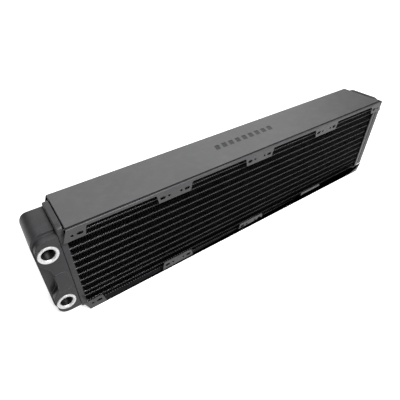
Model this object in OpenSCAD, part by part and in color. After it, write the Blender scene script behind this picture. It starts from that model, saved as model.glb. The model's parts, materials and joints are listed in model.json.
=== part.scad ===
// Liquid cooling radiator for a row of fans, standing on its long edge.
// X runs along the row of fans, Y through the core from front to back, Z up.
// The origin is the middle of the underside of the whole radiator.
// The ports open to the front, -Y, at the -X end.

/* [Fans] */
// Number of fans in the row
fan_count = 4; // [2:1:4]
// Distance from one fan to the next
fan_pitch = 120; // [100:1:150]
// Distance between a fan's screw holes
screw_spacing = 105; // [88:0.5:126]
// Diameter of a tapped screw hole
screw_hole_d = 3; // [2.5:0.1:4.5]
// Length of a slotted hole beside a screw hole
slot_length = 6.4; // [5:0.1:8]
// Width of a slotted hole
slot_width = 4; // [3:0.1:5]
// Distance from the joint between two fans to the middle of a slot
slot_offset = 15.2; // [13.5:0.1:16]

/* [Rails] */
// Depth from the front fan face to the back fan face
depth = 64; // [50:1:80]
// Distance from the line of screw holes to the outer face of the cover
rail_margin = 10; // [7:0.5:14]
// Distance from the last screw hole to the end of a rail
rail_end = 3.5; // [3:0.1:8]
// Thickness of the rail sheet
rail_sheet = 1; // [0.6:0.1:1.5]
// Outer radius of the rail's bend
bend_r = 1.8; // [1.6:0.1:3]
// Width of the narrow strip between two mounting tabs of the upper rail
strip_width = 4.4; // [3.2:0.1:6]
// Width of the narrow strip between two mounting tabs of the lower rail
lower_strip_width = 2.8; // [2.7:0.1:6]
// How far a mounting tab reaches in from the cover's outer face
tab_reach = 15.5; // [13:0.1:20]
// Half width of a mounting tab where it leaves the strip
tab_root_half = 22.4; // [21:0.1:30]
// Half width of a mounting tab at its tip
tab_tip_half = 20; // [19.5:0.1:21]
// How far the tip of a corner tab spreads past the end of its rail
corner_tab_flare = 6; // [2:0.5:7]

/* [Cover panels] */
// Thickness of a cover panel
cover_sheet = 0.8; // [0.6:0.1:1.5]
// Width of the bend left bare along each long edge of a cover
cover_margin = 1.9; // [1:0.1:4]
// Number of sunk bars in the ornament
bar_count = 9; // [3:1:11]
// Distance between two sunk bars
bar_pitch = 10.6; // [8:0.1:12]
// Width of a sunk bar
bar_width = 6.4; // [3:0.1:7]
// Length of a sunk bar across the cover
bar_length = 9; // [5:0.5:20]
// Slant of a sunk bar, sideways over its whole length
bar_slant = 2.6; // [0:0.1:5]
// How deep the bars are sunk
bar_depth = 0.3; // [0.1:0.05:0.5]
// Distance of the ornament from the middle of the rails, towards +X
ornament_x = 5; // [-50:1:50]
// Distance of the ornament from the middle of the rails, towards the back
ornament_y = 3; // [-15:1:15]

/* [Core] */
// Number of evenly spaced rows of flat tubes about the middle
middle_rows = 9; // [5:2:9]
// Distance from the last of those rows out to the edge row
edge_row_gap = 7; // [5:0.25:9]
// Distance from the line of screw holes in to the edge row
edge_row_offset = 6.25; // [5:0.25:9]
// Distance from the line of screw holes out to the blind side tubes
side_tube_offset = 3.25; // [2.5:0.25:4.5]
// Thickness of a flat tube
tube_thickness = 2; // [1.6:0.1:3]
// Wall of a flat tube
tube_wall = 0.25; // [0.2:0.05:0.5]
// Gap between the front tube and the back tube of a row
tube_row_gap = 3; // [2:0.5:8]
// Distance from a tube's edge to the header's face
tube_inset = 2.5; // [2.2:0.1:5]
// Distance between two folds of a fin strip on one side
fin_pitch = 3; // [2.5:0.1:6]
// Thickness of the fin sheet
fin_sheet = 0.12; // [0.08:0.01:0.3]
// Distance from the fin strips' front to the header's face
fin_inset = 0.6; // [0:0.1:4]
// Gap between the fins' end and the header's rim
fin_end_gap = 1.5; // [1:0.1:4]

/* [Headers] */
// Distance from the fan face down to the header's face
header_recess = 6; // [4:0.5:10]
// Gap between the end of a rail and the header's rim
header_gap = 1.5; // [1.2:0.1:4]
// Width of the header's folded rim along X
header_rim = 6.5; // [4:0.1:8]
// Thickness of the header sheet
header_sheet = 1.5; // [1:0.1:1.9]
// Radius of the header's corners
header_corner_r = 9; // [7.5:0.5:10]

/* [Tanks] */
// How far the port tank reaches past its header
port_tank_reach = 25.5; // [24:0.5:35]
// How far the return tank reaches past its header
return_tank_reach = 17; // [15:0.5:30]
// Step from the cover's outer face down to a tank's end wall
tank_step = 5.5; // [3:0.5:8]
// Wall of a tank
tank_wall = 2.5; // [1.5:0.1:3]
// Radius of the port tank's outer corners
port_tank_corner_r = 15; // [6:0.5:18]
// Radius of the return tank's outer corners
return_tank_corner_r = 12; // [6:0.5:14]
// Radius of the return tank's upright front and back edges
return_tank_plan_r = 11; // [6:0.5:14]
// Radius of both tanks' lengthwise edges
tank_edge_r = 6; // [5:0.5:8]
// Thickness of the port block on the tank's front
block_depth = 8.6; // [6:0.1:11]
// Step from the tank's end wall down to the block's end
block_step = 3.5; // [2:0.1:5]
// Step from the tank's outer wall in to the block's outer wall
block_inset = 2; // [1:0.1:3]
// How far the waist between the ports lies from the header
waist_reach = 15.2; // [12:0.1:18]
// Half height of the flat bottom of the waist
waist_flat_half = 9; // [4:0.5:12]
// Step from the waist's flat bottom out to its shoulders
waist_step = 1.3; // [0.5:0.1:3]
// Half height of the waist at its shoulders
waist_shoulder_half = 16; // [13:0.5:18]
// Half height of the waist at its mouth
waist_mouth_half = 25.5; // [20:0.5:26]
// Distance from the header to the raised pad
pad_inset = 2.5; // [1:0.1:5]
// How far the raised pad stands out of the block
pad_height = 0.8; // [0.4:0.1:2]
// Height of the raised pad's upper edge above the middle
pad_top = 7.5; // [2:0.5:20]
// Depth of the raised pad's lower edge below the middle
pad_bottom = 19; // [5:0.5:22]
// Depth of the hollow that feeds the front tubes
manifold_depth = 3.5; // [2.5:0.1:3.7]
// Thickness of the baffle between the two chambers
baffle_thickness = 2; // [1:0.1:3]

/* [Ports] */
// Distance between the two ports
port_spacing = 73; // [70:0.5:80]
// Distance from the header to the ports' axes
port_reach = 13; // [13:0.1:14]
// Diameter of the port thread's wall
port_bore_d = 11.5; // [9:0.1:12.5]
// Diameter of the countersink at the port's mouth
port_mouth_d = 15; // [13.5:0.1:16]
// Depth of the countersink
port_mouth_depth = 1.6; // [0.8:0.1:3]
// Diameter of the bushing's barrel
barrel_d = 18; // [17:0.1:18.2]
// Diameter of the bushing's collar
collar_d = 20.4; // [19:0.1:22]
// How far the collar stands out of the block
collar_height = 1.2; // [0.6:0.1:2]
// How far the barrel reaches into the chamber
barrel_reach = 1; // [0:0.1:4]

/* [Fits] */
// Soldered gap between pieces that fit into each other
solder_gap = 0.05; // [0.02:0.01:0.15]

/* [Hidden] */
$fn = 64;
cut = 1; // how far a cutting shape runs past what it cuts

rail_half = ((fan_count - 1) * fan_pitch + screw_spacing) / 2 + rail_end;
half_width = screw_spacing / 2 + rail_margin;
fan_face = depth / 2;
header_face = fan_face - header_recess;
rim_edge = rail_half + header_gap;
header_out = rim_edge + header_rim;

// The tanks differ, so the rails' middle is not the middle of the whole length
rail_middle = (port_tank_reach - return_tank_reach) / 2;

web_out = half_width - cover_sheet;
web_in = web_out - rail_sheet;

tube_rows = middle_rows + 2;
edge_row_z = screw_spacing / 2 - edge_row_offset;
side_tube_z = screw_spacing / 2 + side_tube_offset;
row_pitch = 2 * (edge_row_z - edge_row_gap) / (middle_rows - 1);
tube_depth = header_face - tube_inset - tube_row_gap / 2;
tube_middle = (tube_row_gap + tube_depth) / 2;

fin_face = header_face - fin_inset;
fin_waves = floor(2 * (rim_edge - fin_end_gap) / fin_pitch);
fin_strips = tube_rows + 3;

tank_half = half_width - tank_step;
block_half = tank_half - block_step;
block_out = port_tank_reach - block_inset;
body_front = -header_face + block_depth;
chamber_front = body_front + tank_wall;
chamber_back = header_face - tank_wall;
block_corner_r = port_tank_corner_r - block_step;

function numbered(stem, number) = str(stem, number < 10 ? "0" : "", number);

// Middle of a row of tubes, counted from the bottom; the side tubes come before and after
function row_z(row) =
    let (place = row - (tube_rows + 1) / 2, steps = abs(place), last = (middle_rows - 1) / 2)
    sign(place) * (steps <= last ? steps * row_pitch : steps <= last + 1 ? edge_row_z : side_tube_z);

// Floor and ceiling of a fin strip, counted from the bottom
function fin_low(strip) =
    (strip == 1 ? -web_in : row_z(strip - 2) + tube_thickness / 2) + solder_gap;
function fin_high(strip) =
    (strip == fin_strips ? web_in : row_z(strip - 1) - tube_thickness / 2) - solder_gap;

// Joint between two fans, counted from the port end; the first and last are the row's ends
function fan_joint(number) = (number - fan_count / 2) * fan_pitch;

// Puts what is drawn about the middle of the rails into the radiator's own frame
module in_place() {
    translate([rail_middle, 0, half_width]) children();
}

// Extrudes an outline drawn in Y and Z along X
module along_x(low, high) {
    translate([low, 0, 0]) rotate([90, 0, 90]) linear_extrude(high - low) children();
}

// Extrudes an outline drawn in X and Z along Y
module along_y(low, high) {
    translate([0, high, 0]) rotate([90, 0, 0]) linear_extrude(high - low) children();
}

// Rectangle between two corners
module box_outline(low, high) {
    translate(low) square(high - low);
}

// Rectangle about the middle with four round corners
module plate_outline(half_a, half_b, r) {
    box_outline([-half_a, -half_b + r], [half_a, half_b - r]);
    box_outline([-half_a + r, -half_b], [half_a - r, half_b]);
    for (a = [-1, 1], b = [-1, 1])
        translate([a * (half_a - r), b * (half_b - r)]) circle(r);
}

// Upright arch with round upper corners
module arch_outline(half, low, high, r) {
    box_outline([-half, low], [half, high - r]);
    box_outline([-half + r, low], [half - r, high]);
    for (a = [-1, 1])
        translate([a * (half - r), high - r]) circle(r);
}

// Flat bar with round ends along the first axis
module stadium_outline(length, width) {
    square([length - width, width], center = true);
    for (a = [-1, 1])
        translate([a * (length - width) / 2, 0]) circle(d = width);
}

// Side view of a tank that stands out of its header, with round outer corners
module tank_outline(low, high, half, r) {
    intersection() {
        union() {
            box_outline([low, -half + r], [high, half - r]);
            box_outline([low, -half], [high - r, half]);
            for (b = [-1, 1])
                translate([high - r, b * (half - r)]) circle(r);
        }
        box_outline([low, -half], [high, half]);
    }
}

// Turns a tank, drawn outwards from a header at x = 0, to the end that side names
module at_end(side) {
    if (side < 0)
        mirror([1, 0, 0]) translate([header_out, 0, 0]) children();
    else
        translate([header_out, 0, 0]) children();
}

// Window between two mounting tabs, cut through both fan faces above a strip
module tab_window(number, strip) {
    left = fan_joint(number);
    right = fan_joint(number + 1);
    low = half_width - tab_reach - cut;
    lean = (tab_root_half - tab_tip_half) / (tab_reach - strip_width);
    tip = tab_tip_half - lean * cut;
    root = tab_tip_half + lean * (tab_reach - strip);
    along_y(-fan_face - cut, fan_face + cut)
        polygon([
            [left + tip, low],
            [right - tip, low],
            [right - root, half_width - strip],
            [left + root, half_width - strip]
        ]);
}

// Slanted end of the +X corner tabs: what lies outside it is cut away
module flare_end() {
    lean = corner_tab_flare / tab_reach;
    along_y(-fan_face - cut, fan_face + cut)
        polygon([
            [rail_half - lean * cut, half_width + cut],
            [rail_half + corner_tab_flare + lean * cut, half_width - tab_reach - cut],
            [rail_half + corner_tab_flare + 2 * cut, half_width - tab_reach - cut],
            [rail_half + corner_tab_flare + 2 * cut, half_width + cut]
        ]);
}

// Screw holes and slots of one fan, along one rail
module fan_holes(number) {
    middle = (fan_joint(number) + fan_joint(number + 1)) / 2;
    for (side = [-1, 1]) {
        along_y(-fan_face - cut, fan_face + cut)
            translate([middle + side * screw_spacing / 2, screw_spacing / 2])
                circle(d = screw_hole_d);
        along_y(-fan_face - cut, fan_face + cut)
            translate([middle + side * (fan_pitch / 2 - slot_offset), screw_spacing / 2])
                stadium_outline(slot_length, slot_width);
    }
}

// Folded rail over the core: web, two fan faces with mounting tabs
module rail(strip) {
    reach = rail_half + corner_tab_flare;
    difference() {
        along_x(-reach, reach)
            difference() {
                arch_outline(fan_face, half_width - tab_reach, web_out, bend_r);
                arch_outline(fan_face - rail_sheet, half_width - tab_reach - cut, web_in, bend_r - rail_sheet);
            }
        for (number = [0:fan_count - 1]) {
            tab_window(number, strip);
            fan_holes(number);
        }
        flare_end();
        mirror([1, 0, 0]) flare_end();
    }
}

module top_side_channel() {
    color("#4a4a4c") in_place() rail(strip_width);
}

module bottom_side_channel() {
    color("#4a4a4c") in_place() mirror([0, 0, 1]) rail(lower_strip_width);
}

// Flat cover sheet on a rail's web
module cover() {
    half = fan_face - cover_margin;
    translate([-rail_half, -half, web_out]) cube([2 * rail_half, 2 * half, cover_sheet]);
}

// Row of plain slanted bars sunk into the cover
module ornament() {
    for (number = [0:bar_count - 1])
        translate([ornament_x + (number - (bar_count - 1) / 2) * bar_pitch, ornament_y, half_width - bar_depth])
            linear_extrude(bar_depth + cut)
                polygon([
                    [-(bar_width + bar_slant) / 2, -bar_length / 2],
                    [(bar_width - bar_slant) / 2, -bar_length / 2],
                    [(bar_width + bar_slant) / 2, bar_length / 2],
                    [-(bar_width - bar_slant) / 2, bar_length / 2]
                ]);
}

module top_cover_panel() {
    color("#6c6c6e") in_place()
        difference() {
            cover();
            ornament();
        }
}

module bottom_cover_panel() {
    color("#6c6c6e") in_place() mirror([0, 0, 1]) cover();
}

// Outlines of a row's front and back tube, in Y and Z
module tube_pair_outline(depth_across, thickness) {
    for (side = [-1, 1])
        translate([side * tube_middle, 0]) stadium_outline(depth_across, thickness);
}

// Front and back tube about the middle of a row, with their ends at half their length
module tube_pair(end) {
    along_x(-end, end)
        difference() {
            tube_pair_outline(tube_depth, tube_thickness);
            tube_pair_outline(tube_depth - 2 * tube_wall, tube_thickness - 2 * tube_wall);
        }
}

// Front and back tube of one row, soldered flush into both headers
module flat_tube(row) {
    color("#1c1c1e") in_place() translate([0, 0, row_z(row)]) tube_pair(header_out);
}

// Front and back blind tube between the headers, which carries no liquid
module side_tube(z) {
    color("#1c1c1e") in_place() translate([0, 0, z]) tube_pair(header_out - header_sheet);
}

module upper_side_tube() {
    side_tube(side_tube_z);
}

module lower_side_tube() {
    side_tube(-side_tube_z);
}

// Folded fin strip between two rows of tubes, or between a row and a rail
module fin_strip(strip) {
    low = fin_low(strip);
    high = fin_high(strip);
    rise = (high - low - fin_sheet) / (fin_pitch / 2);
    section = fin_sheet * sqrt(1 + rise * rise);
    folds = [0:2 * fin_waves];
    upper = [for (i = folds) [(i - fin_waves) * fin_pitch / 2, i % 2 == 0 ? low + section : high]];
    lower = [for (i = folds) [(fin_waves - i) * fin_pitch / 2, i % 2 == 0 ? low : high - section]];
    color("#141416") in_place() along_y(-fin_face, fin_face) polygon(concat(upper, lower));
}

// Header: a plate that the tubes pass through, with a rim folded towards the core
module header() {
    difference() {
        along_x(0, header_rim) plate_outline(header_face, half_width, header_corner_r);
        along_x(-cut, header_rim - header_sheet)
            plate_outline(header_face - header_sheet, half_width - header_sheet, header_corner_r - header_sheet);
        for (row = [1:tube_rows])
            translate([0, 0, row_z(row)]) along_x(-cut, header_rim + cut)
                tube_pair_outline(tube_depth + 2 * solder_gap, tube_thickness + 2 * solder_gap);
    }
}

module port_header_plate() {
    color("#48484a") in_place() at_end(-1) translate([-header_rim, 0, 0]) header();
}

module return_header_plate() {
    color("#48484a") in_place() at_end(1) translate([-header_rim, 0, 0]) header();
}

// Tank or hollow of one, grown inwards by a wall, with round corners and lengthwise edges
module tank_form(low, reach, front, corner_r, wall) {
    intersection() {
        along_y(front + wall, header_face - wall)
            tank_outline(low, reach - wall, tank_half - wall, corner_r - wall);
        along_x(low, reach - wall)
            plate_outline(header_face - wall, tank_half - wall, tank_edge_r - wall);
    }
}

// Return tank or its hollow, which also has round upright edges
module return_form(low, wall) {
    intersection() {
        tank_form(low, return_tank_reach, -header_face, return_tank_corner_r, wall);
        linear_extrude(2 * tank_half, center = true)
            tank_outline(low, return_tank_reach - wall, header_face - wall, return_tank_plan_r - wall);
    }
}

module return_tank() {
    color("#3a3a3c") in_place() at_end(1)
        difference() {
            return_form(0, 0);
            return_form(-cut, tank_wall);
        }
}

// Port block's front view: round outer corners and a waist between the two ports
module block_outline() {
    shoulder = waist_reach + waist_step;
    slope = (waist_mouth_half - waist_shoulder_half) / (block_out - shoulder);
    difference() {
        tank_outline(0, block_out, block_half, block_corner_r);
        polygon([
            [block_out + cut, waist_mouth_half + slope * cut],
            [shoulder, waist_shoulder_half],
            [waist_reach, waist_flat_half],
            [waist_reach, -waist_flat_half],
            [shoulder, -waist_shoulder_half],
            [block_out + cut, -waist_mouth_half - slope * cut]
        ]);
    }
}

module port_tank() {
    color("#3a3a3c") in_place() at_end(-1)
        difference() {
            union() {
                tank_form(0, port_tank_reach, body_front, port_tank_corner_r, 0);
                along_y(-header_face, body_front + cut) block_outline();
                along_y(-header_face - pad_height, -header_face + cut)
                    box_outline([pad_inset, -pad_bottom], [waist_reach, pad_top]);
            }
            tank_form(-cut, port_tank_reach, body_front, port_tank_corner_r, tank_wall);
            along_y(-chamber_back, chamber_front + cut)
                box_outline([-cut, -block_half + tank_wall], [manifold_depth, block_half - tank_wall]);
            for (side = [-1, 1])
                along_y(-header_face - cut, chamber_front + cut)
                    translate([port_reach, side * port_spacing / 2]) circle(d = barrel_d + 2 * solder_gap);
        }
}

// Plate across the port tank, above its middle row, that keeps inlet and outlet apart
module tank_baffle() {
    deep = port_tank_reach - tank_wall - solder_gap;
    shallow = manifold_depth - solder_gap;
    back = chamber_back - solder_gap;
    color("#b08d57") in_place() at_end(-1)
        translate([0, 0, (row_pitch - baffle_thickness) / 2])
            linear_extrude(baffle_thickness)
                polygon([
                    [0, -back],
                    [shallow, -back],
                    [shallow, chamber_front + solder_gap],
                    [deep, chamber_front + solder_gap],
                    [deep, back],
                    [0, back]
                ]);
}

// Threaded bushing: barrel, collar and countersunk bore, with its mouth towards -Y
module bushing(z) {
    barrel_end = chamber_front + barrel_reach;
    mouth = -header_face - collar_height;
    color("#d8d8da") in_place() at_end(-1) translate([port_reach, 0, z])
        difference() {
            union() {
                along_y(-header_face, barrel_end) circle(d = barrel_d);
                along_y(mouth, -header_face) circle(d = collar_d);
            }
            along_y(mouth - cut, barrel_end + cut) circle(d = port_bore_d);
            translate([0, mouth, 0]) rotate([-90, 0, 0])
                cylinder(h = port_mouth_depth, d1 = port_mouth_d, d2 = port_bore_d);
        }
}

module upper_port_bushing() {
    bushing(port_spacing / 2);
}

module lower_port_bushing() {
    bushing(-port_spacing / 2);
}

port_tank();
return_tank();
port_header_plate();
return_header_plate();
tank_baffle();
upper_port_bushing();
lower_port_bushing();
top_side_channel();
bottom_side_channel();
top_cover_panel();
bottom_cover_panel();
upper_side_tube();
lower_side_tube();
for (row = [1:tube_rows])
    flat_tube(row);
for (strip = [1:fin_strips])
    fin_strip(strip);
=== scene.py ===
import json
import math

import bmesh
import bpy
from mathutils import Matrix, Vector


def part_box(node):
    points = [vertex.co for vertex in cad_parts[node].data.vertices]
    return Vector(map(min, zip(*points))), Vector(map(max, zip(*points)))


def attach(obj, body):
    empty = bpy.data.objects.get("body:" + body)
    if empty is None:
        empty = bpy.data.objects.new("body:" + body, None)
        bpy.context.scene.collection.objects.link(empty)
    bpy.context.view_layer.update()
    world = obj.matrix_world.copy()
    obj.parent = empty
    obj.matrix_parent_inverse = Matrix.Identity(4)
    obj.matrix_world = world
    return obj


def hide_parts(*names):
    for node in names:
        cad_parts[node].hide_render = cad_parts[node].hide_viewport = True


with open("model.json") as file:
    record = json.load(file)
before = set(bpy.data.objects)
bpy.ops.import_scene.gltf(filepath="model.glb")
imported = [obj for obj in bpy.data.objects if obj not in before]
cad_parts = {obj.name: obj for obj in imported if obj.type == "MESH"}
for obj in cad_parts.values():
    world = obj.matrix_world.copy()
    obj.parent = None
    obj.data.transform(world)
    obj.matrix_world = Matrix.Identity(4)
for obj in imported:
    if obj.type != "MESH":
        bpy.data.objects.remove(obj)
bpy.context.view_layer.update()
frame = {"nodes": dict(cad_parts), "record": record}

mm = 0.001
cutPast = 1 * mm  # how far a cutting shape runs past what it cuts

# boxes and mounts as the frame gives them, in metres
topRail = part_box("top_side_channel")
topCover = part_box("top_cover_panel")
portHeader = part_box("port_header_plate")
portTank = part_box("port_tank")
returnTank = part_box("return_tank")
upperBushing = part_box("upper_port_bushing")
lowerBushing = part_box("lower_port_bushing")
finNames = sorted(name for name in frame["nodes"] if name.startswith("fin_strip"))
tubeNames = sorted(name for name in frame["nodes"] if name.startswith("flat_tube"))
tubeNames += sorted(name for name in frame["nodes"] if name.endswith("side_tube"))
screwMounts = [m for m in frame["record"]["mounts"] if m["name"].endswith("front_screws")]
slotMounts = [m for m in frame["record"]["mounts"] if m["name"].endswith("front_slots")]
railMiddle = (topCover[0].x + topCover[1].x) / 2
middleZ = (topCover[1].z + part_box("bottom_cover_panel")[0].z) / 2
halfWidth = topCover[1].z - middleZ


# outlines are lists of points in a plane
def arcPoints(centre, radius, startDeg, endDeg, steps):
    points = []
    for i in range(steps + 1):
        angle = math.radians(startDeg + (endDeg - startDeg) * i / steps)
        points.append((centre[0] + radius * math.cos(angle), centre[1] + radius * math.sin(angle)))
    return points


def circlePoints(centre, radius, steps):
    return arcPoints(centre, radius, 0, 360, steps)[:-1]


def stadiumPoints(centre, length, width, steps):
    straight = (length - width) / 2
    right = arcPoints((centre[0] + straight, centre[1]), width / 2, -90, 90, steps)
    left = arcPoints((centre[0] - straight, centre[1]), width / 2, 90, 270, steps)
    return right + left


# rectangle about a centre, its four corners rounded, always with the same number of points
def roundedRectangle(halfA, halfB, radius, steps, centre=(0, 0)):
    points = []
    for signA, signB, start in ((1, 1, 0), (-1, 1, 90), (-1, -1, 180), (1, -1, 270)):
        corner = (centre[0] + signA * (halfA - radius), centre[1] + signB * (halfB - radius))
        points += arcPoints(corner, radius, start, start + 90, steps)
    return points


# polygon with each corner replaced by an arc of its own radius
def filletedPolygon(corners, radii, steps=6):
    points = []
    count = len(corners)
    for i in range(count):
        here = Vector(corners[i])
        before = (Vector(corners[i - 1]) - here).normalized()
        after = (Vector(corners[(i + 1) % count]) - here).normalized()
        radius = radii[i]
        if radius <= 0:
            points.append(tuple(here))
            continue
        half = before.angle(after) / 2
        start = here + before * radius / math.tan(half)
        end = here + after * radius / math.tan(half)
        centre = here + (before + after).normalized() * radius / math.sin(half)
        a, b = start - centre, end - centre
        turn = a.angle_signed(b)
        for k in range(steps + 1):
            angle = -turn * k / steps
            points.append(tuple(centre + Matrix.Rotation(angle, 2) @ a))
    return points


def alongX(a, b, h):
    return Vector((h, a, b))


def alongY(a, b, h):
    return Vector((a, h, b))


def alongZ(a, b, h):
    return Vector((a, b, h))


# stacks outlines with equal point counts into one closed skin; each ring is (height, outline)
def loftRings(bm, rings, place):
    loops = [[bm.verts.new(place(a, b, h)) for a, b in outline] for h, outline in rings]
    for low, high in zip(loops, loops[1:]):
        count = len(low)
        for i in range(count):
            j = (i + 1) % count
            bm.faces.new((low[i], low[j], high[j], high[i]))
    bm.faces.new(loops[0][::-1])
    bm.faces.new(loops[-1])


def prism(bm, outline, low, high, place):
    loftRings(bm, [(low, outline), (high, outline)], place)


def finishMesh(name, bm, materials, sharpDeg=32):
    bmesh.ops.recalc_face_normals(bm, faces=bm.faces)
    mesh = bpy.data.meshes.new(name)
    bm.to_mesh(mesh)
    bm.free()
    smoothExcept(mesh, sharpDeg)
    for material in materials:
        mesh.materials.append(material)
    piece = bpy.data.objects.new(name, mesh)
    bpy.context.scene.collection.objects.link(piece)
    return piece


# the mesh that a piece's modifiers give, written back as its own mesh
def bakeModifiers(piece):
    graph = bpy.context.evaluated_depsgraph_get()
    made = bpy.data.meshes.new_from_object(piece.evaluated_get(graph), depsgraph=graph)
    piece.modifiers.clear()
    old = piece.data
    piece.data = made
    bpy.data.meshes.remove(old)
    made.name = piece.name
    return piece


def smoothExcept(mesh, sharpDeg):
    for face in mesh.polygons:
        face.use_smooth = True
    mesh.set_sharp_from_angle(angle=math.radians(sharpDeg))


def applyModifiers(piece, sharpDeg=32):
    bakeModifiers(piece)
    smoothExcept(piece.data, sharpDeg)
    return piece


def combine(piece, bm, operation):
    other = finishMesh("cuttingShape", bm, [])
    step = piece.modifiers.new("combine", "BOOLEAN")
    step.operation = operation
    step.solver = "EXACT"
    step.use_self = True
    step.object = other
    applyModifiers(piece)
    bpy.data.objects.remove(other)
    return piece


def softenEdges(piece, width, segments=2, angleDeg=40):
    step = piece.modifiers.new("soften", "BEVEL")
    step.width = width
    step.segments = segments
    step.limit_method = "ANGLE"
    step.angle_limit = math.radians(angleDeg)
    step.use_clamp_overlap = True
    return evenShading(applyModifiers(piece))


# lets each large flat face keep its own normal, so that a soft edge does not shade across it
def evenShading(piece):
    step = piece.modifiers.new("weigh", "WEIGHTED_NORMAL")
    step.mode = "FACE_AREA"
    step.weight = 100
    step.keep_sharp = True
    return bakeModifiers(piece)


def standFor(piece, nodes):
    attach(piece, "root")
    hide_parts(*nodes)
    return piece


# a shader group with its sockets, and the nodes that stand for its inputs and outputs
def newGroup(name, inputs, outputs):
    group = bpy.data.node_groups.new(name, "ShaderNodeTree")
    for label, kind, value in inputs:
        socket = group.interface.new_socket(label, in_out="INPUT", socket_type=kind)
        socket.default_value = value
    for label, kind in outputs:
        group.interface.new_socket(label, in_out="OUTPUT", socket_type=kind)
    return group, group.nodes.new("NodeGroupInput"), group.nodes.new("NodeGroupOutput")


def addMath(tree, operation, first, second=None, clamp=False):
    step = tree.nodes.new("ShaderNodeMath")
    step.operation = operation
    step.use_clamp = clamp
    for socket, value in zip(step.inputs, (first, second)):
        if value is None:
            continue
        if isinstance(value, (int, float)):
            socket.default_value = value
        else:
            tree.links.new(value, socket)
    return step.outputs[0]


def addNoise(tree, place, scale, detail=2.0, roughness=0.5):
    step = tree.nodes.new("ShaderNodeTexNoise")
    tree.links.new(place, step.inputs["Vector"])
    if isinstance(scale, (int, float)):
        step.inputs["Scale"].default_value = scale
    else:
        tree.links.new(scale, step.inputs["Scale"])
    step.inputs["Detail"].default_value = detail
    step.inputs["Roughness"].default_value = roughness
    return step.outputs["Fac"]


def addRange(tree, value, fromLow, fromHigh, toLow=0.0, toHigh=1.0):
    step = tree.nodes.new("ShaderNodeMapRange")
    step.clamp = True
    tree.links.new(value, step.inputs["Value"])
    names = ("From Min", "From Max", "To Min", "To Max")
    for label, number in zip(names, (fromLow, fromHigh, toLow, toHigh)):
        if isinstance(number, (int, float)):
            step.inputs[label].default_value = number
        else:
            tree.links.new(number, step.inputs[label])
    return step.outputs["Result"]


grainLook = {"fineScale": 4.3, "fineShare": 0.35, "cloudRange": (0.3, 0.7), "speckleRange": (0.45, 0.75)}


# powder coat: an orange-peel height and slow, faint changes of tone
def makePowderGrain():
    inputs = [("Peel Scale", "NodeSocketFloat", 1400.0), ("Cloud Scale", "NodeSocketFloat", 22.0)]
    outputs = [("Height", "NodeSocketFloat"), ("Cloud", "NodeSocketFloat"), ("Speckle", "NodeSocketFloat")]
    group, source, sink = newGroup("powderGrain", inputs, outputs)
    place = group.nodes.new("ShaderNodeTexCoord").outputs["Object"]
    peel = addNoise(group, place, source.outputs["Peel Scale"], 1.5)
    fineScale = addMath(group, "MULTIPLY", source.outputs["Peel Scale"], grainLook["fineScale"])
    fine = addNoise(group, place, fineScale, 1.0)
    height = addMath(group, "ADD", peel, addMath(group, "MULTIPLY", fine, grainLook["fineShare"]))
    group.links.new(height, sink.inputs["Height"])
    cloud = addNoise(group, place, source.outputs["Cloud Scale"], 3.0)
    group.links.new(addRange(group, cloud, *grainLook["cloudRange"]), sink.inputs["Cloud"])
    group.links.new(addRange(group, fine, *grainLook["speckleRange"]), sink.inputs["Speckle"])
    return group


# paint worn thin on outer corners, broken up by a noise
def makeEdgeWear():
    inputs = [("Start", "NodeSocketFloat", 0.53), ("End", "NodeSocketFloat", 0.62),
              ("Break Scale", "NodeSocketFloat", 260.0)]
    group, source, sink = newGroup("edgeWear", inputs, [("Mask", "NodeSocketFloat")])
    place = group.nodes.new("ShaderNodeTexCoord").outputs["Object"]
    pointed = group.nodes.new("ShaderNodeNewGeometry").outputs["Pointiness"]
    edge = addRange(group, pointed, source.outputs["Start"], source.outputs["End"])
    broken = addRange(group, addNoise(group, place, source.outputs["Break Scale"], 4.0), 0.42, 0.6)
    group.links.new(addMath(group, "MULTIPLY", edge, broken), sink.inputs["Mask"])
    return group


# thin dust that lies on faces that look up
def makeSettledDust():
    inputs = [("Scale", "NodeSocketFloat", 90.0), ("Amount", "NodeSocketFloat", 0.3)]
    group, source, sink = newGroup("settledDust", inputs, [("Mask", "NodeSocketFloat")])
    place = group.nodes.new("ShaderNodeTexCoord").outputs["Object"]
    split = group.nodes.new("ShaderNodeSeparateXYZ")
    group.links.new(group.nodes.new("ShaderNodeNewGeometry").outputs["Normal"], split.inputs[0])
    upward = addRange(group, split.outputs["Z"], 0.35, 1.0)
    patch = addRange(group, addNoise(group, place, source.outputs["Scale"], 6.0, 0.65), 0.45, 0.75)
    mask = addMath(group, "MULTIPLY", addMath(group, "MULTIPLY", upward, patch), source.outputs["Amount"])
    group.links.new(mask, sink.inputs["Mask"])
    return group


powderGrain = makePowderGrain()
edgeWear = makeEdgeWear()
settledDust = makeSettledDust()


def useGroup(tree, group, values):
    step = tree.nodes.new("ShaderNodeGroup")
    step.node_tree = group
    for label, number in values.items():
        step.inputs[label].default_value = number
    return step


def mixColor(tree, mask, first, second):
    step = tree.nodes.new("ShaderNodeMix")
    step.data_type = "RGBA"
    tree.links.new(mask, step.inputs["Factor"])
    for label, value in (("A", first), ("B", second)):
        socket = [s for s in step.inputs if s.name == label and s.type == "RGBA"][0]
        if isinstance(value, tuple):
            socket.default_value = (*value, 1.0)
        else:
            tree.links.new(value, socket)
    return [s for s in step.outputs if s.type == "RGBA"][0]


def newMaterial(name):
    material = bpy.data.materials.new(name)
    material.use_nodes = True
    tree = material.node_tree
    return material, tree, tree.nodes["Principled BSDF"]


def addBump(tree, shader, height, distance, strength=1.0):
    bump = tree.nodes.new("ShaderNodeBump")
    bump.inputs["Distance"].default_value = distance
    bump.inputs["Strength"].default_value = strength
    tree.links.new(height, bump.inputs["Height"])
    tree.links.new(bump.outputs["Normal"], shader.inputs["Normal"])


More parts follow.
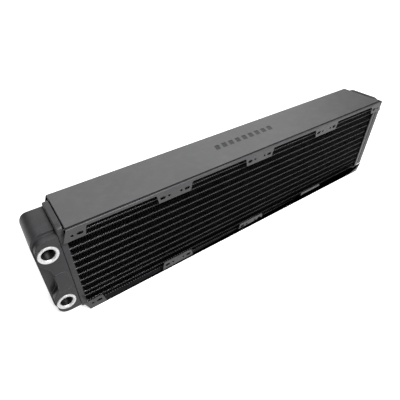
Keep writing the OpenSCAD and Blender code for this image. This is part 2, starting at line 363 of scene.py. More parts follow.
# satin powder coat over sheet metal, with faint clouds, dust and worn corners
def powderCoat(name, paint):
    material, tree, shader = newMaterial(name)
    grain = useGroup(tree, powderGrain, {"Peel Scale": paint["peelScale"],
                                         "Cloud Scale": paint["cloudScale"]})
    wear = useGroup(tree, edgeWear, {"Start": paint["wearStart"], "End": paint["wearEnd"]})
    dust = useGroup(tree, settledDust, {"Amount": paint["dust"]})
    tone = mixColor(tree, grain.outputs["Cloud"], paint["deep"], paint["light"])
    worn = mixColor(tree, wear.outputs["Mask"], tone, paint["wearColor"])
    dusty = mixColor(tree, dust.outputs["Mask"], worn, paint["dustColor"])
    tree.links.new(dusty, shader.inputs["Base Color"])
    rough = addRange(tree, grain.outputs["Speckle"], 0.0, 1.0, paint["roughLow"], paint["roughHigh"])
    tree.links.new(rough, shader.inputs["Roughness"])
    shader.inputs["Specular IOR Level"].default_value = paint["specular"]
    addBump(tree, shader, grain.outputs["Height"], paint["bump"])
    return material


coverPaint = powderCoat("coverPaint", {
    "deep": (0.046, 0.046, 0.048), "light": (0.056, 0.056, 0.058),
    "wearColor": (0.20, 0.20, 0.205), "wearStart": 0.56, "wearEnd": 0.72,
    "dustColor": (0.30, 0.29, 0.28), "dust": 0.05,
    "roughLow": 0.40, "roughHigh": 0.48, "specular": 0.5,
    "peelScale": 1500.0, "cloudScale": 14.0, "bump": 0.00004,
})
railPaint = powderCoat("railPaint", {
    "deep": (0.050, 0.050, 0.052), "light": (0.062, 0.062, 0.064),
    "wearColor": (0.22, 0.22, 0.225), "wearStart": 0.55, "wearEnd": 0.70,
    "dustColor": (0.30, 0.29, 0.28), "dust": 0.06,
    "roughLow": 0.32, "roughHigh": 0.40, "specular": 0.12,
    "peelScale": 1700.0, "cloudScale": 30.0, "bump": 0.00002,
})
headerPaint = powderCoat("headerPaint", {
    "deep": (0.034, 0.034, 0.036), "light": (0.044, 0.044, 0.046),
    "wearColor": (0.20, 0.20, 0.205), "wearStart": 0.55, "wearEnd": 0.70,
    "dustColor": (0.28, 0.27, 0.26), "dust": 0.05,
    "roughLow": 0.26, "roughHigh": 0.36, "specular": 0.12,
    "peelScale": 1600.0, "cloudScale": 30.0, "bump": 0.00003,
})
tankPaint = powderCoat("tankPaint", {
    "deep": (0.029, 0.029, 0.031), "light": (0.039, 0.039, 0.041),
    "wearColor": (0.16, 0.16, 0.165), "wearStart": 0.56, "wearEnd": 0.70,
    "dustColor": (0.26, 0.25, 0.24), "dust": 0.05,
    "roughLow": 0.34, "roughHigh": 0.42, "specular": 0.12,
    "peelScale": 1300.0, "cloudScale": 26.0, "bump": 0.00005,
})
# near-black paint: the cover letters' own black, and painted shade on the cover's long edges, the rails'
# hidden faces and the notch between the ports
letterBlackAndShade = powderCoat("letterBlackAndShade", {
    "deep": (0.008, 0.008, 0.009), "light": (0.012, 0.012, 0.013),
    "wearColor": (0.05, 0.05, 0.05), "wearStart": 0.62, "wearEnd": 0.80,
    "dustColor": (0.10, 0.10, 0.10), "dust": 0.03,
    "roughLow": 0.30, "roughHigh": 0.40, "specular": 0.25,
    "peelScale": 2600.0, "cloudScale": 40.0, "bump": 0.00001,
})
tubePaint = powderCoat("tubePaint", {
    "deep": (0.010, 0.010, 0.011), "light": (0.016, 0.016, 0.017),
    "wearColor": (0.08, 0.08, 0.08), "wearStart": 0.70, "wearEnd": 0.90,
    "dustColor": (0.12, 0.115, 0.11), "dust": 0.0,
    "roughLow": 0.18, "roughHigh": 0.25, "specular": 0.35,
    "peelScale": 2200.0, "cloudScale": 40.0, "bump": 0.00001,
})


# core paint with a painted highlight: a paler tone on the fold crests near the lower tube and the open faces
# stands in for glints of light
def glintedPaint(name, paint, glint):
    material = powderCoat(name, paint)
    tree = material.node_tree
    base = tree.nodes["Principled BSDF"].inputs["Base Color"]
    plain = base.links[0].from_socket
    split = tree.nodes.new("ShaderNodeSeparateXYZ")
    tree.links.new(tree.nodes.new("ShaderNodeTexCoord").outputs["Generated"], split.inputs[0])
    reach, depth = glint["reach"], glint["depth"]
    fullReach, fullDepth = reach * glint["fullShare"], depth * glint["fullShare"]
    low = addRange(tree, split.outputs["Z"], reach, fullReach)
    front = addRange(tree, split.outputs["Y"], depth, fullDepth)
    back = addRange(tree, split.outputs["Y"], 1 - depth, 1 - fullDepth)
    mask = addMath(tree, "MULTIPLY", low, addMath(tree, "ADD", front, back, True))
    tree.links.new(mixColor(tree, mask, plain, glint["color"]), base)
    return material


# fins: near-black paint, with painted highlights at the lower folds near the open faces
finPaintWithGlints = glintedPaint("finPaintWithGlints", {
    "deep": (0.004, 0.004, 0.0045), "light": (0.007, 0.007, 0.0075),
    "wearColor": (0.03, 0.03, 0.03), "wearStart": 0.70, "wearEnd": 0.90,
    "dustColor": (0.08, 0.078, 0.075), "dust": 0.02,
    "roughLow": 0.45, "roughHigh": 0.60, "specular": 0.08,
    "peelScale": 2200.0, "cloudScale": 40.0, "bump": 0.00002,
}, {
    "reach": 0.14, "depth": 0.035, "fullShare": 0.6,  # shares of the strip's height and depth
    "color": (0.10, 0.10, 0.10),
})


# nickel plate with turning rings about the bushing's own axis
def turnedNickel(name, centre, finish):
    material, tree, shader = newMaterial(name)
    place = tree.nodes.new("ShaderNodeTexCoord").outputs["Object"]
    shift = tree.nodes.new("ShaderNodeVectorMath")
    shift.operation = "SUBTRACT"
    shift.inputs[1].default_value = centre
    tree.links.new(place, shift.inputs[0])
    split = tree.nodes.new("ShaderNodeSeparateXYZ")
    tree.links.new(shift.outputs[0], split.inputs[0])
    flat = tree.nodes.new("ShaderNodeCombineXYZ")
    tree.links.new(split.outputs["X"], flat.inputs["X"])
    tree.links.new(split.outputs["Z"], flat.inputs["Y"])
    length = tree.nodes.new("ShaderNodeVectorMath")
    length.operation = "LENGTH"
    tree.links.new(flat.outputs[0], length.inputs[0])
    spread = tree.nodes.new("ShaderNodeCombineXYZ")
    tree.links.new(length.outputs["Value"], spread.inputs["X"])
    rings = addNoise(tree, spread.outputs[0], finish["ringScale"], 3.0)
    stain = addNoise(tree, place, finish["stainScale"], 4.0)
    tone = mixColor(tree, addRange(tree, stain, 0.35, 0.7), finish["light"], finish["deep"])
    tree.links.new(tone, shader.inputs["Base Color"])
    shader.inputs["Metallic"].default_value = finish["metallic"]
    rough = addRange(tree, rings, 0.3, 0.7, finish["roughLow"], finish["roughHigh"])
    tree.links.new(rough, shader.inputs["Roughness"])
    addBump(tree, shader, rings, finish["bump"])
    return material


nickelFinish = {
    "light": (0.52, 0.52, 0.53), "deep": (0.44, 0.435, 0.43), "ringScale": 5200.0, "stainScale": 160.0,
    "roughLow": 0.36, "roughHigh": 0.48, "bump": 0.000008, "metallic": 0.45,
}
# a dark copy of the nickel for the thread deep in the bore: painted shade
boreShadeFinish = {
    "light": (0.020, 0.020, 0.021), "deep": (0.010, 0.010, 0.010), "ringScale": 3200.0, "stainScale": 240.0,
    "roughLow": 0.4, "roughHigh": 0.55, "bump": 0.000008, "metallic": 1.0,
}

baffle = {
    "light": (0.62, 0.44, 0.20), "deep": (0.42, 0.29, 0.13), "stainScale": 70.0, "rollScale": 900.0,
    "roughLow": 0.3, "roughHigh": 0.5, "bump": 0.00001,
}


# bare brass, rolled and slightly tarnished
def rolledBrass(name):
    material, tree, shader = newMaterial(name)
    place = tree.nodes.new("ShaderNodeTexCoord").outputs["Object"]
    stain = addRange(tree, addNoise(tree, place, baffle["stainScale"], 5.0), 0.35, 0.7)
    tone = mixColor(tree, stain, baffle["light"], baffle["deep"])
    tree.links.new(tone, shader.inputs["Base Color"])
    shader.inputs["Metallic"].default_value = 1.0
    rough = addRange(tree, stain, 0.0, 1.0, baffle["roughLow"], baffle["roughHigh"])
    tree.links.new(rough, shader.inputs["Roughness"])
    addBump(tree, shader, addNoise(tree, place, baffle["rollScale"], 2.0), baffle["bump"])
    return material


print("materials ready")

# cover panels: flat sheets, the upper one with a row of plain sunk bars
cover = {
    "cornerRadius": 0.8 * mm, "edge": 0.14 * mm, "setBack": 0.8 * mm,
    "barCount": 9, "barPitch": 10.6 * mm, "barWidth": 6.4 * mm, "barLength": 9 * mm,
    "barSlant": 2.6 * mm, "barDepth": 0.3 * mm, "barRadius": 0.7 * mm, "ornamentPlace": (5 * mm, 3 * mm),
    "floorSlack": 0.02 * mm, "facesUp": 0.9, "facesAside": 0.7,  # which faces take the dark paint
# which faces take the near-black paint: the bar floors as the letters' own black, the long edges as painted
# shade
}


def makeCover(name, node, ornament):
    low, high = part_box(node)
    bm = bmesh.new()
    halfDeep = (high.y - low.y) / 2 - cover["setBack"]
    outline = roundedRectangle((high.x - low.x) / 2, halfDeep, cover["cornerRadius"], 4,
                               ((low.x + high.x) / 2, (low.y + high.y) / 2))
    prism(bm, outline, low.z, high.z, alongZ)
    piece = finishMesh(name, bm, [coverPaint, letterBlackAndShade])
    if ornament:
        cutter = bmesh.new()
        halfWide, halfLong, lean = cover["barWidth"] / 2, cover["barLength"] / 2, cover["barSlant"] / 2
        acrossBars, y = cover["ornamentPlace"]
        for number in range(cover["barCount"]):
            x = railMiddle + acrossBars + (number - (cover["barCount"] - 1) / 2) * cover["barPitch"]
            corners = [(x - halfWide - lean, y - halfLong), (x + halfWide - lean, y - halfLong),
                       (x + halfWide + lean, y + halfLong), (x - halfWide + lean, y + halfLong)]
            bar = filletedPolygon(corners, [cover["barRadius"]] * 4, steps=4)
            prism(cutter, bar, high.z - cover["barDepth"], high.z + cutPast, alongZ)
        combine(piece, cutter, "DIFFERENCE")
        piece.data.materials.clear()
        piece.data.materials.append(coverPaint)
        piece.data.materials.append(letterBlackAndShade)
    floorZ = high.z - cover["barDepth"]
    # the bar floors take the letters' own black; the cover's long edge faces take it as painted shade, a dark
    # line along the front and back
    for face in piece.data.polygons:
        level = abs(face.center.z - floorZ) < cover["floorSlack"] and abs(face.normal.z) > cover["facesUp"]
        shadedLongEdge = abs(face.normal.y) > cover["facesAside"]
        face.material_index = 1 if ornament and level or shadedLongEdge else 0
    softenEdges(piece, cover["edge"])
    return standFor(piece, [node])


makeCover("coverTop", "top_cover_panel", True)
makeCover("coverBottom", "bottom_cover_panel", False)
print("covers ready")

# side channels: folded rails with mounting tabs
rail = {
    "sheet": 1 * mm, "bendRadius": 1.8 * mm, "tabReach": 15.5 * mm, "stripWidth": 4.4 * mm,
    "lowerStripWidth": 2.8 * mm, "cornerFlare": 6 * mm,
    "tabRootHalf": 22.4 * mm, "tabTipHalf": 20 * mm, "tabRadius": 1.2 * mm, "edge": 0.22 * mm,
    "bendSteps": 8, "holeSteps": 28, "slotSteps": 10,
    # how far the painted shade reaches, and how far a face has to turn that way to take it
    "paintedShadeUnderWeb": 3 * mm, "paintedShadeBehindTab": 2.2 * mm, "paintedShadeUnderCover": 0.1 * mm,
    "facesIn": 0.3, "facesOut": 0.95,
}
fanMiddles = sorted(mount["pos_m"][0] for mount in screwMounts)
fanPitch = fanMiddles[1] - fanMiddles[0]
screwDims = screwMounts[0]["dims"]
slotDims = slotMounts[0]["dims"]


def railProfile(webOut, sign):
    depth = topRail[1].y
    radius, sheet, steps = rail["bendRadius"], rail["sheet"], rail["bendSteps"]
    tip = halfWidth - rail["tabReach"]
    outer = [(-depth, tip)]
    outer += arcPoints((-depth + radius, webOut - radius), radius, 180, 90, steps)
    outer += arcPoints((depth - radius, webOut - radius), radius, 90, 0, steps)
    outer += [(depth, tip), (depth - sheet, tip)]
    outer += arcPoints((depth - radius, webOut - radius), radius - sheet, 0, 90, steps)
    outer += arcPoints((-depth + radius, webOut - radius), radius - sheet, 90, 180, steps)
    outer += [(-depth + sheet, tip)]
    return [(y, middleZ + sign * z) for y, z in outer]


def makeRail(name, node, sign):
    low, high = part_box(node)
    webOut = high.z - middleZ if sign > 0 else middleZ - low.z
    bm = bmesh.new()
    prism(bm, railProfile(webOut, sign), low.x, high.x, alongX)
    piece = finishMesh(name, bm, [railPaint])
    cutter = bmesh.new()
    front, back = low.y - cutPast, high.y + cutPast
    strip = rail["stripWidth"] if sign > 0 else rail["lowerStripWidth"]
    root = halfWidth - strip
    tip = halfWidth - rail["tabReach"] - cutPast
    lean = (rail["tabRootHalf"] - rail["tabTipHalf"]) / (rail["tabReach"] - rail["stripWidth"])
    tipHalf = rail["tabTipHalf"] - lean * cutPast
    rootHalf = rail["tabTipHalf"] + lean * (rail["tabReach"] - strip)
    for middle in fanMiddles:
        left, right = middle - fanPitch / 2, middle + fanPitch / 2
        corners = [(left + tipHalf, tip), (right - tipHalf, tip),
                   (right - rootHalf, root), (left + rootHalf, root)]
        window = filletedPolygon(corners, [0, 0, rail["tabRadius"], rail["tabRadius"]], steps=5)
        prism(cutter, [(x, middleZ + sign * z) for x, z in window], front, back, alongY)
        for side in (-1, 1):
            x = middle + side * screwDims["spacing_x_mm"] * mm / 2
            z = middleZ + sign * screwDims["spacing_y_mm"] * mm / 2
            hole = circlePoints((x, z), screwDims["hole_r_mm"] * mm, rail["holeSteps"])
            prism(cutter, hole, front, back, alongY)
            x = middle + side * slotDims["spacing_x_mm"] * mm / 2
            slotWidth = 2 * slotDims["hole_r_mm"] * mm
            slotOutline = stadiumPoints((x, z), slotDims["slot_length_mm"] * mm, slotWidth, rail["slotSteps"])
            prism(cutter, slotOutline, front, back, alongY)
    slant = rail["cornerFlare"] / rail["tabReach"] * cutPast
    for end in (-1, 1):
        flared = (high.x - low.x) / 2
        straight = flared - rail["cornerFlare"]
        corners = [(straight - slant, halfWidth + cutPast), (flared + slant, tip),
                   (flared + 2 * cutPast, tip), (flared + 2 * cutPast, halfWidth + cutPast)]
        prism(cutter, [(railMiddle + end * x, middleZ + sign * z) for x, z in corners], front, back, alongY)
    combine(piece, cutter, "DIFFERENCE")
    softenEdges(piece, rail["edge"])
    piece.data.materials.clear()
    piece.data.materials.append(railPaint)
    piece.data.materials.append(letterBlackAndShade)
    # faces in shade under the web, behind the tabs and on the web beside the cover's edge take the near-black
    # paint: painted shade
    for face in piece.data.polygons:
        place, normal = face.center, face.normal
        outward, belowWeb = sign * normal.z, webOut - sign * (place.z - middleZ)
        underWeb = belowWeb < rail["paintedShadeUnderWeb"] and outward < -rail["facesIn"]
        nearTab = abs(place.y) > high.y - rail["paintedShadeBehindTab"]
        behindTab = nearTab and place.y * normal.y < 0 and abs(normal.y) > rail["facesIn"]
        underCover = belowWeb < rail["paintedShadeUnderCover"] and outward > rail["facesOut"]
        face.material_index = 1 if underWeb or behindTab or underCover else 0
    return standFor(piece, [node])


makeRail("railTop", "top_side_channel", 1)
makeRail("railBottom", "bottom_side_channel", -1)
print("rails ready")

# header plates: pressed lids with a rim folded towards the core
header = {
    "sheet": 1.5 * mm, "cornerRadius": 9 * mm, "leastCorner": 0.4 * mm, "bendRadius": 1.9 * mm,
    "rimEdge": 0.35 * mm, "steps": 8, "bendSteps": 6,
}


def makeHeader(name, node, outward):
    low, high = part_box(node)
    halfY, halfZ = (high.y - low.y) / 2, (high.z - low.z) / 2
    middle = ((low.y + high.y) / 2, (low.z + high.z) / 2)
    rim = low.x if outward > 0 else high.x
    width = high.x - low.x
    radius, edge, sheet = header["bendRadius"], header["rimEdge"], header["sheet"]
    # from inside the lid round its rim and over the bend to the flat, as (reach from the rim, inset)
    steps = [(width - sheet, sheet), (edge, sheet), (0, sheet - edge), (0, edge), (edge, 0),
             (width - radius, 0)]
    for i in range(1, header["bendSteps"] + 1):
        angle = math.radians(90 * i / header["bendSteps"])
        steps.append((width - radius + radius * math.sin(angle), radius - radius * math.cos(angle)))
    rings = []
    for reach, inset in steps:
        corner = max(header["cornerRadius"] - inset, header["leastCorner"])
        outline = roundedRectangle(halfY - inset, halfZ - inset, corner, header["steps"], middle)
        rings.append((rim + outward * reach, outline))
    bm = bmesh.new()
    loftRings(bm, rings, alongX)
    piece = finishMesh(name, bm, [headerPaint], sharpDeg=40)
    return standFor(piece, [node])


makeHeader("headerPort", "port_header_plate", -1)
makeHeader("headerReturn", "return_header_plate", 1)
print("headers ready")

# tanks at both ends, the port tank with a block that carries the two bushings
tank = {
    "portCorner": 15 * mm, "returnCorner": 12 * mm, "planCorner": 11 * mm, "edgeRadius": 6 * mm, "steps": 14,
    "blockDepth": 8.6 * mm, "blockStep": 3.5 * mm, "blockInset": 2 * mm, "waistReach": 15.2 * mm,
    "waistFlatHalf": 9 * mm, "waistStep": 1.3 * mm, "waistShoulderHalf": 16 * mm, "waistMouthHalf": 25.5 * mm,
    "padHeight": 0.8 * mm, "padTop": 7.5 * mm, "padBottom": 19 * mm, "padLeft": 2.5 * mm,
    "portReach": 13 * mm, "barrelRadius": 9.05 * mm, "voxel": 0.35 * mm, "smoothing": 3,
    "mouthRadius": 2.5 * mm, "shoulderRadius": 2 * mm, "flatRadius": 3 * mm,
    "padOuterRadius": 4 * mm, "padInnerRadius": 1 * mm, "blockRoot": 4 * mm, "holeBack": 4 * mm,
    "paintedShadeFrom": 1.5 * mm, "paintedShadeMargin": 0.5 * mm,  # the painted shade in the notch between the ports
}


# side view of a tank that stands out of its header, in outward reach and height
def tankOutline(reach, half, radius, steps):
    outline = [(0, -half)]
    outline += arcPoints((reach - radius, -half + radius), radius, -90, 0, steps)
    outline += arcPoints((reach - radius, half - radius), radius, 0, 90, steps)
    outline += [(0, half)]
    return outline


# the shape that a tank's flanks are trimmed to, seen along the radiator
def trimSection(piece, low, high):
    section = bmesh.new()
    outline = roundedRectangle(high.y, (high.z - low.z) / 2, tank["edgeRadius"], 8, (0, middleZ))
    prism(section, outline, low.x - cutPast, high.x + cutPast, alongX)
    combine(piece, section, "INTERSECT")


# rounds what a tank's skin still has as sharp edges
def meltEdges(piece, limits):
    melt = piece.modifiers.new("melt", "REMESH")
    melt.mode = "VOXEL"
    melt.voxel_size = tank["voxel"]
    calm = piece.modifiers.new("calm", "SMOOTH")
    calm.factor = 0.5
    calm.iterations = tank["smoothing"]
    applyModifiers(piece, sharpDeg=60)
    for point in piece.data.vertices:
        point.co = [min(max(value, least), most) for value, least, most in zip(point.co, *limits)]
    piece.data.materials.clear()
    piece.data.materials.append(tankPaint)


def makeReturnTank():
    low, high = returnTank
    reach, half = high.x - low.x, (high.z - low.z) / 2

    def place(a, b, h):
        return Vector((low.x + a, h, middleZ + b))

    def fromAbove(a, b, h):
        return Vector((low.x + a, b, h))

    bm = bmesh.new()
    prism(bm, tankOutline(reach, half, tank["returnCorner"], tank["steps"]), low.y, high.y, place)
    piece = finishMesh("tankReturn", bm, [tankPaint], sharpDeg=40)
    plan = bmesh.new()
    outline = tankOutline(reach, high.y, tank["planCorner"], tank["steps"])
    prism(plan, outline, low.z - cutPast, high.z + cutPast, fromAbove)
    combine(piece, plan, "INTERSECT")
    trimSection(piece, low, high)
    meltEdges(piece, returnTank)
    return standFor(piece, ["return_tank"])


def makePortTank():
    low, high = portTank
    reach, half = high.x - low.x, (high.z - low.z) / 2
    headerFront = portHeader[0].y
    bodyFront = headerFront + tank["blockDepth"]

    def place(a, b, h):
        return Vector((high.x - a, h, middleZ + b))

    bm = bmesh.new()
    prism(bm, tankOutline(reach, half, tank["portCorner"], tank["steps"]), bodyFront, high.y, place)
    piece = finishMesh("tankPort", bm, [tankPaint], sharpDeg=40)
    trimSection(piece, low, high)
    blockOut, blockHalf = reach - tank["blockInset"], half - tank["blockStep"]
    corner = tank["portCorner"] - tank["blockStep"]
    waist, lip = tank["waistReach"], tank["waistReach"] + tank["waistStep"]
    flat, shoulder, mouth = tank["waistFlatHalf"], tank["waistShoulderHalf"], tank["waistMouthHalf"]
    corners = [(0, -blockHalf), (blockOut, -blockHalf), (blockOut, -mouth), (lip, -shoulder), (waist, -flat),
               (waist, flat), (lip, shoulder), (blockOut, mouth), (blockOut, blockHalf), (0, blockHalf)]
    radii = [0, corner, tank["mouthRadius"], tank["shoulderRadius"], tank["flatRadius"]]
    block = bmesh.new()
    outline = filletedPolygon(corners, radii + radii[::-1], steps=8)
    prism(block, outline, headerFront, bodyFront + tank["blockRoot"], place)
    combine(piece, block, "UNION")
    pad = bmesh.new()
    padCorners = [(tank["padLeft"], -tank["padBottom"]), (waist, -tank["padBottom"]), (waist, tank["padTop"]),
                  (tank["padLeft"], tank["padTop"])]
    outerRadius, innerRadius = tank["padOuterRadius"], tank["padInnerRadius"]
    padRadii = [outerRadius, innerRadius, innerRadius, outerRadius]
    outline = filletedPolygon(padCorners, padRadii, steps=6)
    prism(pad, outline, headerFront - tank["padHeight"], headerFront + cutPast, place)
    combine(piece, pad, "UNION")
    holes = bmesh.new()
    for box in (upperBushing, lowerBushing):
        z = (box[0].z + box[1].z) / 2 - middleZ
        hole = circlePoints((tank["portReach"], z), tank["barrelRadius"], steps=48)
        prism(holes, hole, headerFront - 3 * cutPast, tank["holeBack"], place)
    combine(piece, holes, "DIFFERENCE")
    meltEdges(piece, portTank)
    piece.data.materials.append(letterBlackAndShade)
    # faces deep in the notch between the ports take the near-black paint: painted shade
    for face in piece.data.polygons:
        x, y, z = face.center
        inside = high.x - x > waist + tank["paintedShadeMargin"] and abs(z - middleZ) < mouth
        deep = headerFront + tank["paintedShadeFrom"] < y < bodyFront + tank["paintedShadeMargin"]
        face.material_index = 1 if inside and deep else 0
    return standFor(piece, ["port_tank"])


makeReturnTank()
makePortTank()
print("tanks ready")

# port bushings: turned, plated, with a real helical thread
bushing = {
    "barrelRadius": 9 * mm, "mouthRadius": 7.5 * mm, "mouthDepth": 1.6 * mm, "minorRadius": 5.75 * mm,
    "threadDepth": 0.8 * mm, "threadPitch": 1.337 * mm, "steps": 96, "rowsPerPitch": 6, "lip": 0.35 * mm,
    "chamfer": 0.4 * mm, "lipSteps": 5,
}


def ringAt(radius, y, steps):
    turns = [2 * math.pi * k / steps for k in range(steps)]
    return [(radius * math.cos(turn), y, radius * math.sin(turn)) for turn in turns]


def makeBushing(name, node, box):
    low, high = box
    centre = ((low.x + high.x) / 2, (low.z + high.z) / 2)
    collarRadius = (high.x - low.x) / 2
    front, back = low.y, high.y
    seat = portHeader[0].y
    lip, steps, chamfer = bushing["lip"], bushing["steps"], bushing["chamfer"]
    outer = [(bushing["barrelRadius"] - chamfer, back), (bushing["barrelRadius"], back - chamfer),
             (bushing["barrelRadius"], seat), (collarRadius, seat), (collarRadius, front + 2 * lip)]
    for i in range(1, bushing["lipSteps"] + 1):
        angle = math.radians(90 * i / bushing["lipSteps"])
        inset, drop = 2 * lip * (1 - math.cos(angle)), 2 * lip * (1 - math.sin(angle))
        outer.append((collarRadius - inset, front + drop))
    outer.append((bushing["mouthRadius"] + lip, front))
    outer.append((bushing["mouthRadius"] + 0.3 * lip, front + 0.3 * lip))
    outer.append((bushing["minorRadius"] + bushing["threadDepth"], front + bushing["mouthDepth"]))
    bm = bmesh.new()
    loops = [ringAt(radius, y, steps) for radius, y in outer]
    rows = int((back - front - bushing["mouthDepth"]) / bushing["threadPitch"] * bushing["rowsPerPitch"])
    start = front + bushing["mouthDepth"]
    for row in range(1, rows + 1):
        y = start + (back - start) * row / rows
        ring = []
        for k in range(steps):
            turn = k / steps
            phase = ((y - start) / bushing["threadPitch"] - turn) % 1.0
            ridge = abs(phase * 2 - 1)
            # the ridge rises over the first turn and runs out over the last half turn
            fade = min(1.0, (y - start) / bushing["threadPitch"], (back - y) / (0.5 * bushing["threadPitch"]))
            depth = bushing["threadDepth"] * (ridge * fade + (1 - fade))
            radius = bushing["minorRadius"] + depth
            ring.append((radius * math.cos(2 * math.pi * turn), y, radius * math.sin(2 * math.pi * turn)))
        loops.append(ring)
    made = [[bm.verts.new((centre[0] + x, y, centre[1] + z)) for x, y, z in loop] for loop in loops]
    made.append(made[0])
    for near, far in zip(made, made[1:]):
        for k in range(steps):
            j = (k + 1) % steps
            bm.faces.new((near[k], near[j], far[j], far[k]))
    centrePlace = (centre[0], 0, centre[1])
    bright = turnedNickel(name + "Nickel", centrePlace, nickelFinish)
    boreShadeCopy = turnedNickel(name + "BoreShade", centrePlace, boreShadeFinish)
    piece = finishMesh(name, bm, [bright, boreShadeCopy], sharpDeg=35)
    # the thread faces inside the bore take the dark copy: painted shade
    for face in piece.data.polygons:
        away = math.hypot(face.center.x - centre[0], face.center.z - centre[1])
        if away < bushing["minorRadius"] + bushing["threadDepth"] and face.center.y > start:
            face.material_index = 1
    return standFor(piece, [node])


makeBushing("bushingUpper", "upper_port_bushing", upperBushing)
makeBushing("bushingLower", "lower_port_bushing", lowerBushing)
print("bushings ready")

# fin strips: one folded sheet each, with round folds and shifted louvre banks
fins = {
    "pitch": 3 * mm, "sheet": 0.12 * mm, "foldSteps": 5, "foldRound": 0.92, "setBack": 0.8 * mm,
    # (distance from an open face, shift along the strip) in millimetres, from each face inwards
    "banks": ((0.0, 0.0), (1.5, 0.0), (2.1, 0.42), (4.6, 0.42), (5.2, 0.0), (7.0, 0.0)),
}


# centre line of one whole fold, up and down again, as (along, height)
def foldPath(height, pitch, steps):
    radius = pitch / 4 * fins["foldRound"]
    path = []
    for i in range(steps + 1):
        angle = math.radians(180 * i / steps)
        path.append((pitch / 4 - radius * math.cos(angle), height - radius + radius * math.sin(angle)))
    for i in range(steps + 1):
        angle = math.radians(180 * i / steps)
        path.append((3 * pitch / 4 - radius * math.cos(angle), radius - radius * math.sin(angle)))
    return path


def makeFinStrip(node):
    low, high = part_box(node)
    low.y += fins["setBack"]
    high.y -= fins["setBack"]
    sheet = fins["sheet"]
    waves = int(round((high.x - low.x) / fins["pitch"]))
    path = []
    fold = foldPath(high.z - low.z - sheet, fins["pitch"], fins["foldSteps"])
    for wave in range(waves):
        path += [(low.x + wave * fins["pitch"] + x, low.z + sheet / 2 + z) for x, z in fold]
    normals = []
    for i in range(len(path)):
        a = Vector(path[max(i - 1, 0)])
        b = Vector(path[min(i + 1, len(path) - 1)])
        along = (b - a).normalized()
        normals.append((-along.y * sheet / 2, along.x * sheet / 2))
    sections = [(low.y + y * mm, shift * mm) for y, shift in fins["banks"]]
    sections += [(high.y - y * mm, shift * mm) for y, shift in reversed(fins["banks"])]
    count = len(path)
    verts, faces = [], []
    for y, shift in sections:
        for side in (1, -1):
            for (x, z), (nx, nz) in zip(path, normals):
                verts.append((x + side * nx + shift, y, z + side * nz))
    for s in range(len(sections) - 1):
        here, there = s * 2 * count, (s + 1) * 2 * count
        for i in range(count - 1):
            faces.append((here + i, here + i + 1, there + i + 1, there + i))
            faces.append((here + count + i + 1, here + count + i, there + count + i, there + count + i + 1))
        faces.append((here, there, there + count, here + count))
        faces.append((here + count - 1, here + 2 * count - 1, there + 2 * count - 1, there + count - 1))
    last = (len(sections) - 1) * 2 * count
    for i in range(count - 1):
        faces.append((i + 1, i, count + i, count + i + 1))
        faces.append((last + i, last + i + 1, last + count + i + 1, last + count + i))
    mesh = bpy.data.meshes.new(node.replace("fin_strip_", "fins"))
    mesh.from_pydata(verts, [], faces)
    mesh.materials.append(finPaintWithGlints)
    smoothExcept(mesh, sharpDeg=50)
    piece = bpy.data.objects.new(mesh.name, mesh)
    bpy.context.scene.collection.objects.link(piece)
    return standFor(piece, [node])


for node in finNames:
    makeFinStrip(node)
print("fins ready")

# tubes and baffle keep the frame's own meshes and get a finish
finishes = {node: tubePaint for node in tubeNames}
finishes["tank_baffle"] = rolledBrass("baffleBrass")
for node, finish in finishes.items():
    frame["nodes"][node].data.materials.clear()
    frame["nodes"][node].data.materials.append(finish)

# floor and light
stage = {
    "floorHalf": 6.0, "floorColor": (0.16, 0.16, 0.16), "seenColor": (0.85, 0.85, 0.85), "lift": 0.7,
    "worldColor": (0.10, 0.10, 0.10),
}


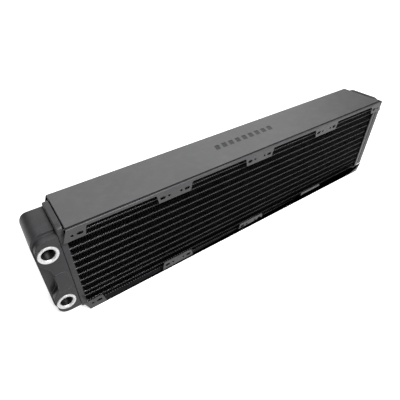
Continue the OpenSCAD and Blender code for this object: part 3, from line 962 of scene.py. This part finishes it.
# pale and lifted where it is seen or mirrored, a dim grey for the light that it sends back
def makeFloor():
    bm = bmesh.new()
    half = stage["floorHalf"]
    corners = [(-half, -half, 0), (half, -half, 0), (half, half, 0), (-half, half, 0)]
    bm.faces.new([bm.verts.new(c) for c in corners])
    material, tree, shader = newMaterial("paleFloor")
    tree.nodes.remove(shader)
    rays = tree.nodes.new("ShaderNodeLightPath").outputs
    mirrored = addMath(tree, "MAXIMUM", rays["Is Glossy Ray"], rays["Is Transmission Ray"])
    white = addMath(tree, "MAXIMUM", rays["Is Camera Ray"], mirrored)
    plain = tree.nodes.new("ShaderNodeBsdfDiffuse")
    plain.inputs["Color"].default_value = (*stage["floorColor"], 1)
    pale = tree.nodes.new("ShaderNodeBsdfDiffuse")
    pale.inputs["Color"].default_value = (*stage["seenColor"], 1)
    glow = tree.nodes.new("ShaderNodeEmission")
    glow.inputs["Strength"].default_value = stage["lift"]
    add = tree.nodes.new("ShaderNodeAddShader")
    tree.links.new(pale.outputs[0], add.inputs[0])
    tree.links.new(glow.outputs[0], add.inputs[1])
    mix = tree.nodes.new("ShaderNodeMixShader")
    tree.links.new(white, mix.inputs[0])
    tree.links.new(plain.outputs[0], mix.inputs[1])
    tree.links.new(add.outputs[0], mix.inputs[2])
    tree.links.new(mix.outputs[0], tree.nodes["Material Output"].inputs["Surface"])
    floor = finishMesh("floor", bm, [material])


makeFloor()

world = bpy.data.worlds.new("studio")
world.use_nodes = True
backdrop = world.node_tree.nodes["Background"].inputs
backdrop["Color"].default_value = (*stage["worldColor"], 1)
backdrop["Strength"].default_value = 1.0
bpy.context.scene.world = world


def softbox(name, place, target, width, height, watts):
    light = bpy.data.lights.new(name, "AREA")
    light.shape = "RECTANGLE"
    light.size = width
    light.size_y = height
    light.energy = watts
    lamp = bpy.data.objects.new(name, light)
    lamp.location = place
    lamp.rotation_euler = (Vector(target) - Vector(place)).to_track_quat("-Z", "Y").to_euler()
    bpy.context.scene.collection.objects.link(lamp)


lamps = {
    "backWall": {"place": (0.55, 2.1, 1.45), "target": (0, 0, 0.1), "width": 4.4, "height": 2.8, "watts": 58},
    "frontTop": {"place": (0.02, -0.50, 0.66), "target": (-0.02, -0.03, 0.09), "width": 0.50, "height": 0.20,
                 "watts": 12},
}
for name, lamp in lamps.items():
    softbox(name, **lamp)

# camera in front of the port end, above the radiator
camera = {
    "place": (-259.95 * mm, -272.8 * mm, 335.0 * mm), "forward": (0.4053, 0.6647, -0.6277),
    "up": (0.359, 0.5157, 0.7779), "lens": 30.5, "sensor": 36.0, "shift": (0.0556, -0.0063),
    "clipStart": 0.01,
}
view = bpy.data.cameras.new("view")
view.lens = camera["lens"]
view.sensor_width = camera["sensor"]
view.shift_x, view.shift_y = camera["shift"]
view.clip_start = camera["clipStart"]
viewer = bpy.data.objects.new("view", view)
forward = Vector(camera["forward"]).normalized()
side = forward.cross(Vector(camera["up"])).normalized()
upward = side.cross(forward)
turn = Matrix((side, upward, -forward)).transposed().to_4x4()
viewer.matrix_world = Matrix.Translation(camera["place"]) @ turn
bpy.context.scene.collection.objects.link(viewer)
bpy.context.scene.camera = viewer
bpy.context.scene.view_settings.view_transform = "Standard"
print("stage ready")
